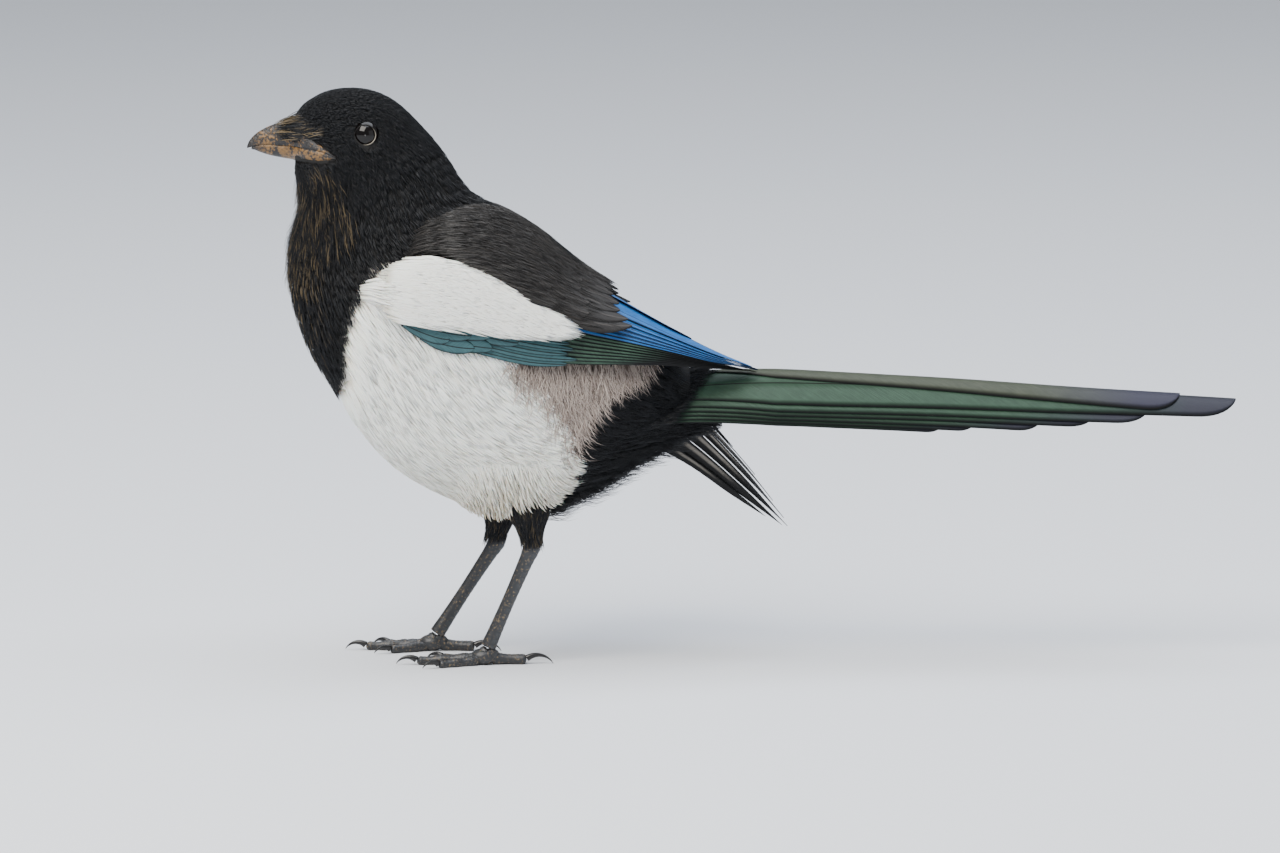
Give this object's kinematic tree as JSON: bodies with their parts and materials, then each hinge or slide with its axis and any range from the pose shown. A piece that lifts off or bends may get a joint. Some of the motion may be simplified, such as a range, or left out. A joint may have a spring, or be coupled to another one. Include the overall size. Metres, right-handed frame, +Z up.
{
  "type": "eurasian magpie",
  "caption": "Life-size standing magpie with raised head, folded near wing, far wing hanging a little open, and a long graduated tail held level; a still display model.",
  "frame": {"origin": "on the floor under the middle of the bird, which is the bottom centre of its box", "axes": "+X towards the tail tip, with the bill at -X; +Y towards the bird's right side; +Z up"},
  "size_m": [0.4244, 0.0918, 0.2467],
  "materials": {
    "black_feathers": "soft black contour feathers with a faint green and blue sheen",
    "white_feathers": "silky off-white contour feathers",
    "wing_feathers": "flight feathers with a blue to teal gloss",
    "tail_feathers": "long feathers with a green, bronze and purple gloss",
    "bill_horn": "dark worn horn with tan specks",
    "leg_skin": "dark grey scaled skin",
    "claw_horn": "smooth dark horn",
    "eye": "wet, nearly black"
  },
  "bodies": {
    "root": {"head": "black_feathers", "upper_bill": "bill_horn", "lower_bill": "bill_horn", "eye_left": "eye", "eye_right": "eye", "neck": "black_feathers", "back": "black_feathers", "belly": "white_feathers", "rump": "black_feathers", "tail": "tail_feathers", "wing_left": "wing_feathers", "black_scapulars_left": "black_feathers", "white_scapulars_left": "white_feathers", "wing_right": "wing_feathers", "black_scapulars_right": "black_feathers", "white_scapulars_right": "white_feathers", "thigh_left": "black_feathers", "tarsus_left": "leg_skin", "foot_left": "leg_skin", "claw_inner_left": "claw_horn", "claw_middle_left": "claw_horn", "claw_outer_left": "claw_horn", "claw_hind_left": "claw_horn", "thigh_right": "black_feathers", "tarsus_right": "leg_skin", "foot_right": "leg_skin", "claw_inner_right": "claw_horn", "claw_middle_right": "claw_horn", "claw_outer_right": "claw_horn", "claw_hind_right": "claw_horn"}
  },
  "joints": []
}
